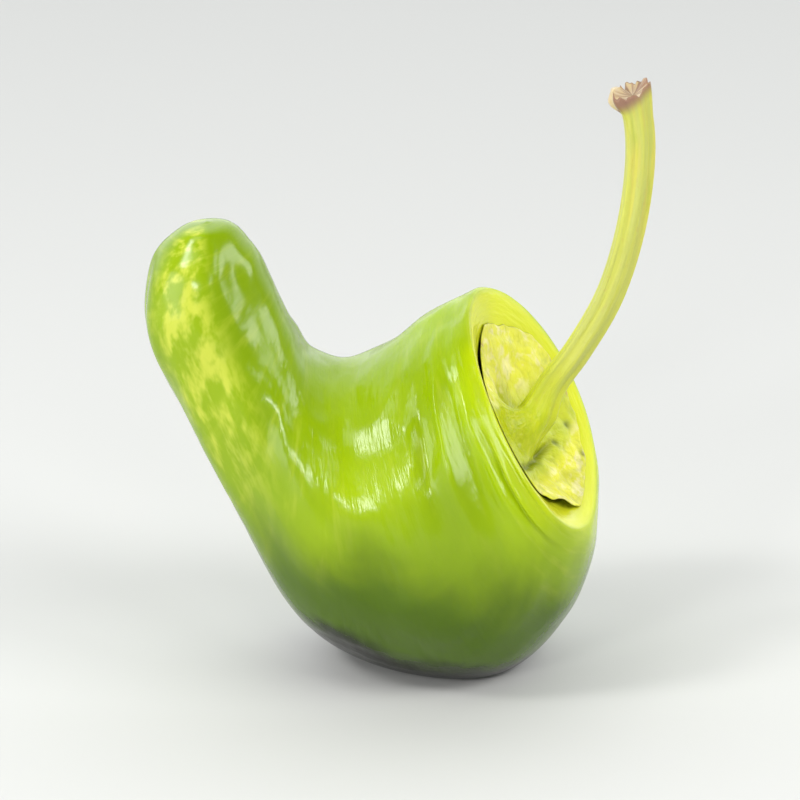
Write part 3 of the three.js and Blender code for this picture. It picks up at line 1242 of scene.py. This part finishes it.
    def place(self, angle: float, ring: float) -> tuple[Vector, dict[str, Triple]]:
        """Place a point of the skin, from the torn end's middle at 0 to the underside's middle at 1.

        Args:
            angle: The angle round.
            ring: The place along.

        Returns:
            The point in millimetres, and what the skin's material reads there: "skin" is millimetres
            along and round, "growth" is how far up the stem, how far out to the margin and how torn it
            is, and "tint" is how light, how much of the stem's funnel and how much painted shade darkens it
            in a crease or on the underside.
        """
        length = self.line.length
        reach = self.skirt_reach(angle)
        torn = 0.0
        out = 0.0
        if ring < self.cup_end:
            share = ring / self.cup_end
            point = self.stem_point(length - self.torn(angle, share), angle, share)
            run = length
            streak = smoothstep(-0.3, 0.4, noise.noise(Vector((math.cos(angle), math.sin(angle), 0)) * 6))
            torn = mix(mix(0.94, 0.98, streak), 1.0, self.knob(angle) * share)
        elif ring < self.stem_end:
            share = (ring - self.cup_end) / (self.stem_end - self.cup_end)
            run = mix(length - self.torn(angle, 1.0), self.skirt_rise, share)
            point = self.stem_point(run, angle)
            shorter = self.bark_slant * (1 - math.cos(angle - self.bark_angle))
            torn = 0.92 * (1 - smoothstep(0.5, self.bark_length, length - run + shorter))
            knob = self.knob(angle) * smoothstep(3.2, 2.2, length - run)
            torn = mix(torn, 1.0, smoothstep(0.35, 0.65, knob))
        elif ring < self.skirt_end:
            share = (ring - self.stem_end) / (self.skirt_end - self.stem_end)
            point = self.skirt_point(share, angle)
            run = self.skirt_rise * (1 - share)
            out = reach * share
        elif ring < self.margin_end:
            share = (ring - self.skirt_end) / (self.margin_end - self.skirt_end)
            out = mix(reach, 1.0, share)
            point = self.calyx_point(out, angle, True)
            run = -(out - reach) * self.calyx_reach
        else:
            out = 1 - (ring - self.margin_end) / (1 - self.margin_end)
            point = self.calyx_point(out, angle, False)
            run = -8.0
        girth = 1.8 + 5 * out
        skin = (run, girth * math.cos(angle), girth * math.sin(angle))
        marks = {"skin": skin, "growth": (run, out, torn), "tint": (0.0, 0.0, 0.0)}
        if out > 0:
            up, side = self.spot(out, angle)
            beyond_skirt = smoothstep(0.6, 1, out / reach)
            pale = max(smoothstep(1, 6, up), smoothstep(-0.5, -3, self.fold_side(up, side)))
            # Painted shade: darker in the calyx's creases and pits, and fully darkened on its underside.
            dark = self.creases(up, side) * beyond_skirt if ring < self.margin_end else 1.0
            marks["tint"] = (pale * beyond_skirt, smoothstep(-2, 4, side) * (1 - pale), dark)
        return point, marks

    def torn(self, angle: float, share: float) -> float:
        """Give how far below its highest fibre the torn end lies.

        Args:
            angle: The angle round.
            share: The place from its middle, 0, to its edge, 1.

        Returns:
            The distance in millimetres.
        """
        lean = self.torn_depth + self.torn_lean * share * math.cos(angle - self.torn_angle)
        lean -= self.knob_rise * self.knob(angle) * share
        circle = Vector((math.cos(angle), math.sin(angle), 0))
        fibres = self.fibre_depth * max(noise.noise(circle * 4 + Vector((3, 1, 4))), -0.6)
        return max(lean + self.cup_depth * (1 - share**2) + fibres * share**3, 0.0)

    def build(self) -> bpy.types.Object:
        """Make the calyx and stem."""
        return warped_ball("calyx_and_stem_skin", self.around, self.rings, self.place, self.skin.material())


@dataclass(frozen=True)
class SoftBox:
    """A square light: its side in metres, and how bright it looks."""

    size: float
    radiance: float

    def hang(self, side: Side, middle: Vector, distance: float) -> None:
        """Hang it at a side, turned to the object and hidden from the camera.

        Args:
            side: Where it stands.
            middle: The object's middle, in metres.
            distance: How far from there, in metres.
        """
        turn, height = (math.radians(angle) for angle in side.value)
        way = Vector((math.sin(turn), -math.cos(turn), 0)) * math.cos(height)
        way.z = math.sin(height)
        lamp = bpy.data.lights.new(side.name.lower(), "AREA")
        lamp.shape = "SQUARE"
        lamp.size = self.size
        lamp.energy = math.pi * self.size**2 * self.radiance
        holder = bpy.data.objects.new(side.name.lower(), lamp)
        holder.location = middle + way * distance
        holder.rotation_mode = "QUATERNION"
        holder.rotation_quaternion = (-way).to_track_quat("-Z", "Y")
        holder.visible_camera = False
        bpy.context.scene.collection.objects.link(holder)


@dataclass(frozen=True)
class Studio:
    """A plain pale floor, soft lights, and the camera at the photograph's viewing angle.

    The camera's target, distance and seen width are in millimetres, the lights' distance in metres.
    """

    target: Triple = (-4.4, -2.0, 32.3)
    elevation: float = math.radians(20)
    distance: float = 600.0
    seen: float = 91.8
    room: float = 0.12
    horizon: float = 0.4
    backdrop: float = 1.8
    light_distance: float = 0.8
    boxes: dict[Side, SoftBox] = field(
        default_factory=lambda: {
            Side.FRONT_LOW: SoftBox(0.16, 6.5),
            Side.FRONT_HIGH: SoftBox(0.25, 5.5),
            Side.WINDOW_TOP: SoftBox(0.16, 24.0),
            Side.WINDOW_FOOT: SoftBox(0.12, 30.0),
            Side.LEFT_HIGH: SoftBox(0.3, 3.0),
            Side.FAR_LEFT: SoftBox(0.4, 4.2),
            Side.RIGHT: SoftBox(0.33, 8.0),
        }
    )

    def floor(self) -> bpy.types.Object:
        """Lay a wide pale floor under the object.

        Returns:
            The floor.
        """
        shape = bmesh.new()
        bmesh.ops.create_circle(shape, cap_ends=True, segments=64, radius=4.0)
        mesh = bpy.data.meshes.new("floor")
        shape.to_mesh(mesh)
        shape.free()
        material, tree = new_material("matt white paper")
        # Uncoated paper scatters light evenly, so it shows soft shadows and no mirror image.
        shaded(tree, {"Base Color": srgb("#cfcfcc"), "Roughness": 0.8})
        mesh.materials.append(material)
        floor = bpy.data.objects.new("floor", mesh)
        bpy.context.scene.collection.objects.link(floor)
        return floor

    def lights(self) -> None:
        """Hang the soft boxes round the object."""
        for side, box in self.boxes.items():
            box.hang(side, Vector(self.target) * MM, self.light_distance)

    def sky(self) -> None:
        """Light everything softly from all round, most from the backdrop behind."""
        world = bpy.data.worlds.new("soft room")
        world.use_nodes = True
        tree = world.node_tree
        way = add_node(tree, "ShaderNodeTexCoord").outputs["Generated"]
        _, back, up = parted(tree, way)
        settings = {"interpolation_type": "SMOOTHSTEP"}
        sockets = {"Value": up, "From Min": 0.0, "From Max": 0.6}
        sockets |= {"To Min": self.horizon, "To Max": self.room}
        rising = add_node(tree, "ShaderNodeMapRange", settings, sockets)
        sockets = {"Value": back, "From Min": -0.1, "From Max": 0.6, "To Max": self.backdrop}
        sockets["To Min"] = rising.outputs["Result"]
        glow = add_node(tree, "ShaderNodeMapRange", settings, sockets)
        background = tree.nodes["Background"]
        background.inputs["Color"].default_value = srgb("#f2f5f7")
        tree.links.new(glow.outputs["Result"], background.inputs["Strength"])
        bpy.context.scene.world = world

    def camera(self) -> None:
        """Set the camera where the photograph was taken from."""
        data = bpy.data.cameras.new("camera")
        data.sensor_width = 36.0
        data.lens = data.sensor_width * self.distance / self.seen
        data.clip_start = 0.01
        data.clip_end = 20.0
        camera = bpy.data.objects.new("camera", data)
        back = Vector((0, -math.cos(self.elevation), math.sin(self.elevation)))
        place = Matrix.Translation((Vector(self.target) + back * self.distance) * MM)
        camera.matrix_world = place @ (-back).to_track_quat("-Z", "Y").to_matrix().to_4x4()
        bpy.context.scene.collection.objects.link(camera)
        bpy.context.scene.camera = camera

    def build(self) -> None:
        """Set up the floor, the lights, the room and the camera."""
        self.floor()
        self.lights()
        self.sky()
        self.camera()
        bpy.context.scene.view_settings.view_transform = "Standard"


def main() -> None:
    """Build the pepper and the studio, and log each piece's number of faces."""
    logging.basicConfig(level=logging.INFO, format="%(message)s")
    Studio().build()
    for maker, node, slot in (
        (Pod(), "pod", "pod_skin"),
        (CalyxAndStem(), "calyx_and_stem", "stem_skin"),
    ):
        piece = maker.build()
        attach(piece, "root")
        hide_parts(node)
        LOG.info("%s: %d faces", piece.name, len(piece.data.polygons))


if __name__ == "__main__":
    main()
